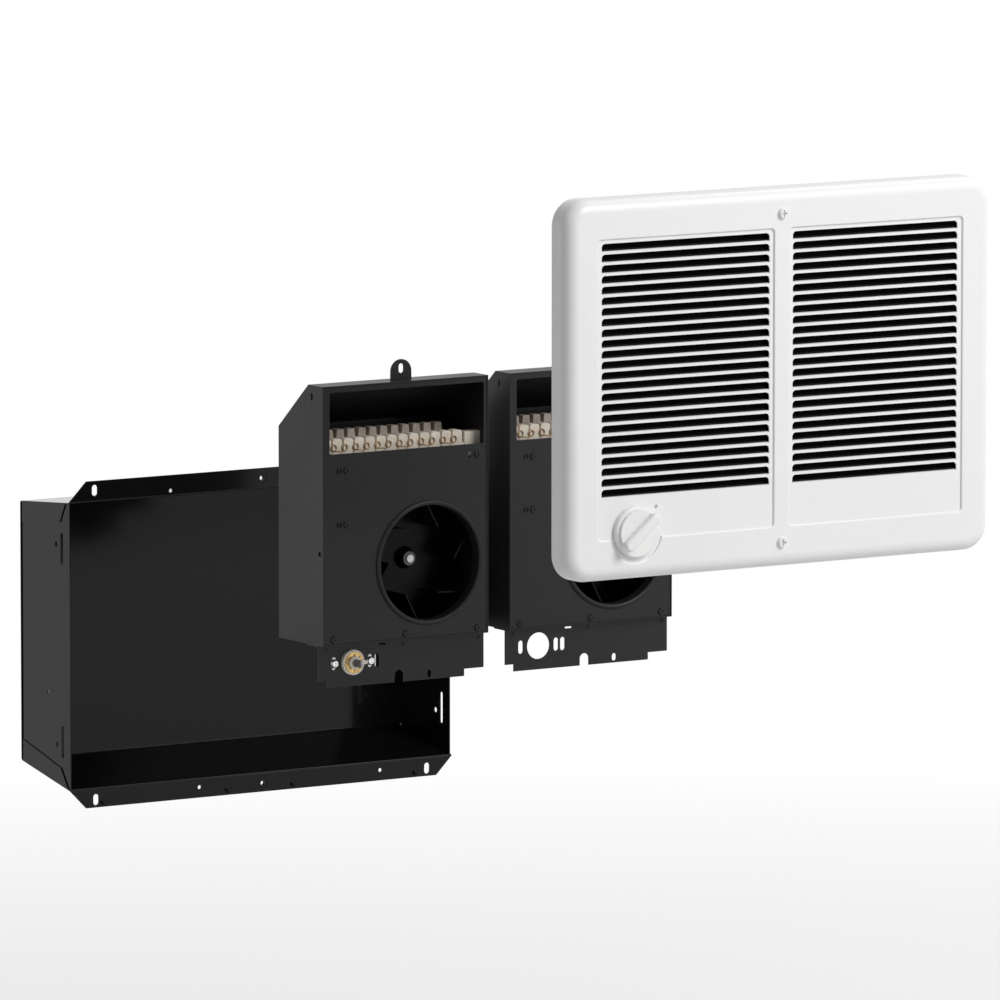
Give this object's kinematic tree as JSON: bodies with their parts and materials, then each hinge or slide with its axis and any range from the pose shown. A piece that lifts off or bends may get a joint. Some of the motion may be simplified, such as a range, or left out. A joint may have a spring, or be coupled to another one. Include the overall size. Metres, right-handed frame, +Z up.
{
  "type": "in-wall fan heater",
  "caption": "In-wall electric fan heater drawn apart: black wall can, side-by-side heater units with fan inlets and ceramic elements, white louvred grille with a thermostat knob.",
  "frame": {"origin": "middle of the can's front opening, in the wall plane on the flanges' back", "axes": "+X to the right as seen from the room, +Y into the wall, +Z up"},
  "size_m": [0.384, 0.8335, 0.552],
  "materials": {
    "can_black": "gloss black enamel",
    "case_black": "satin black enamel",
    "ground_green": "green",
    "galvanised": "galvanised",
    "ceramic_cream": "unglazed",
    "ceramic_brown": "unglazed, heat stained",
    "coil_bronze": "oxidised resistance wire",
    "switch_black": "phenolic",
    "laminations": "lamination stack",
    "copper_winding": "lacquered copper",
    "bare_steel": "bare",
    "bright_steel": "ground",
    "wheel_black": "satin black",
    "screw_black": "black oxide",
    "ivory": "unglazed",
    "brass": "stamped",
    "shaft_grey": "die cast",
    "zinc": "zinc plated",
    "grille_white": "satin white powder coat",
    "screen_black": "matt black fine mesh",
    "knob_white": "satin moulded"
  },
  "bodies": {
    "wall_can": {"can_wrap": "can_black", "can_side_left": "can_black", "can_side_right": "can_black", "ground_screw": "ground_green"},
    "heater_left": {"case_shell_left": "case_black", "front_panel_left": "case_black", "control_plate_left": "case_black", "scroll_baffle_left": "case_black", "cutoff_tongue_left": "case_black", "ceramic_front_left": "ceramic_cream", "ceramic_rear_left": "ceramic_brown", "heating_coil_left": "coil_bronze", "element_end_outer_left": "ceramic_cream", "element_end_inner_left": "ceramic_cream", "limit_bracket_left": "case_black", "limit_switch_left": "switch_black", "motor_core_left": "laminations", "motor_coil_left": "copper_winding", "motor_bridge_front_left": "bare_steel", "motor_bridge_rear_left": "bare_steel", "panel_screws_left": "screw_black", "thermostat_body": "ivory", "thermostat_bracket": "galvanised", "thermostat_disc": "brass", "thermostat_screws": "zinc"},
    "fan_left": {"fan_wheel_left": "wheel_black", "motor_rotor_left": "bare_steel", "motor_shaft_left": "bright_steel", "wheel_clip_left": "bare_steel"},
    "heater_right": {"case_shell_right": "case_black", "front_panel_right": "case_black", "control_plate_right": "case_black", "scroll_baffle_right": "case_black", "cutoff_tongue_right": "case_black", "ceramic_front_right": "ceramic_cream", "ceramic_rear_right": "ceramic_brown", "heating_coil_right": "coil_bronze", "element_end_outer_right": "ceramic_cream", "element_end_inner_right": "ceramic_cream", "limit_bracket_right": "case_black", "limit_switch_right": "switch_black", "motor_core_right": "laminations", "motor_coil_right": "copper_winding", "motor_bridge_front_right": "bare_steel", "motor_bridge_rear_right": "bare_steel", "panel_screws_right": "screw_black"},
    "fan_right": {"fan_wheel_right": "wheel_black", "motor_rotor_right": "bare_steel", "motor_shaft_right": "bright_steel", "wheel_clip_right": "bare_steel"},
    "thermostat_spindle": {"thermostat_shaft": "shaft_grey", "thermostat_pointer": "ivory"},
    "grille": {"grille": "grille_white", "grille_screws": "grille_white", "lint_screen": "screen_black"},
    "knob": {"knob": "knob_white"}
  },
  "joints": [
    {"name": "heater_left_slide", "type": "slide", "parent": "wall_can", "child": "heater_left", "axis": [0, -0.9337, 0.3581], "range_m": [-0.3695, 0]},
    {"name": "heater_right_slide", "type": "slide", "parent": "wall_can", "child": "heater_right", "axis": [0, -0.9337, 0.3581], "range_m": [-0.3695, 0]},
    {"name": "grille_slide", "type": "slide", "parent": "wall_can", "child": "grille", "axis": [0, -0.9337, 0.3581], "range_m": [-0.77595, 0]},
    {"name": "fan_left_spin", "type": "hinge", "parent": "heater_left", "child": "fan_left", "pos_m": [-0.064, -0.345, 0.09931], "axis": [0, -1, 0], "continuous": true},
    {"name": "fan_right_spin", "type": "hinge", "parent": "heater_right", "child": "fan_right", "pos_m": [0.108, -0.345, 0.09931], "axis": [0, -1, 0], "continuous": true},
    {"name": "knob_turn", "type": "hinge", "parent": "grille", "child": "knob", "pos_m": [-0.131, -0.7245, 0.17085], "axis": [0, -1, 0], "range_deg": [-90, 180]},
    {"name": "thermostat_turn", "type": "hinge", "parent": "heater_left", "child": "thermostat_spindle", "pos_m": [-0.131, -0.345, 0.02531], "axis": [0, -1, 0], "range_deg": [-90, 180]}
  ],
  "couplings": [
    {"joint": "heater_right_slide", "follows": "heater_left_slide", "ratio": 1},
    {"joint": "grille_slide", "follows": "heater_left_slide", "ratio": 2.1},
    {"joint": "thermostat_turn", "follows": "knob_turn", "ratio": 1}
  ]
}
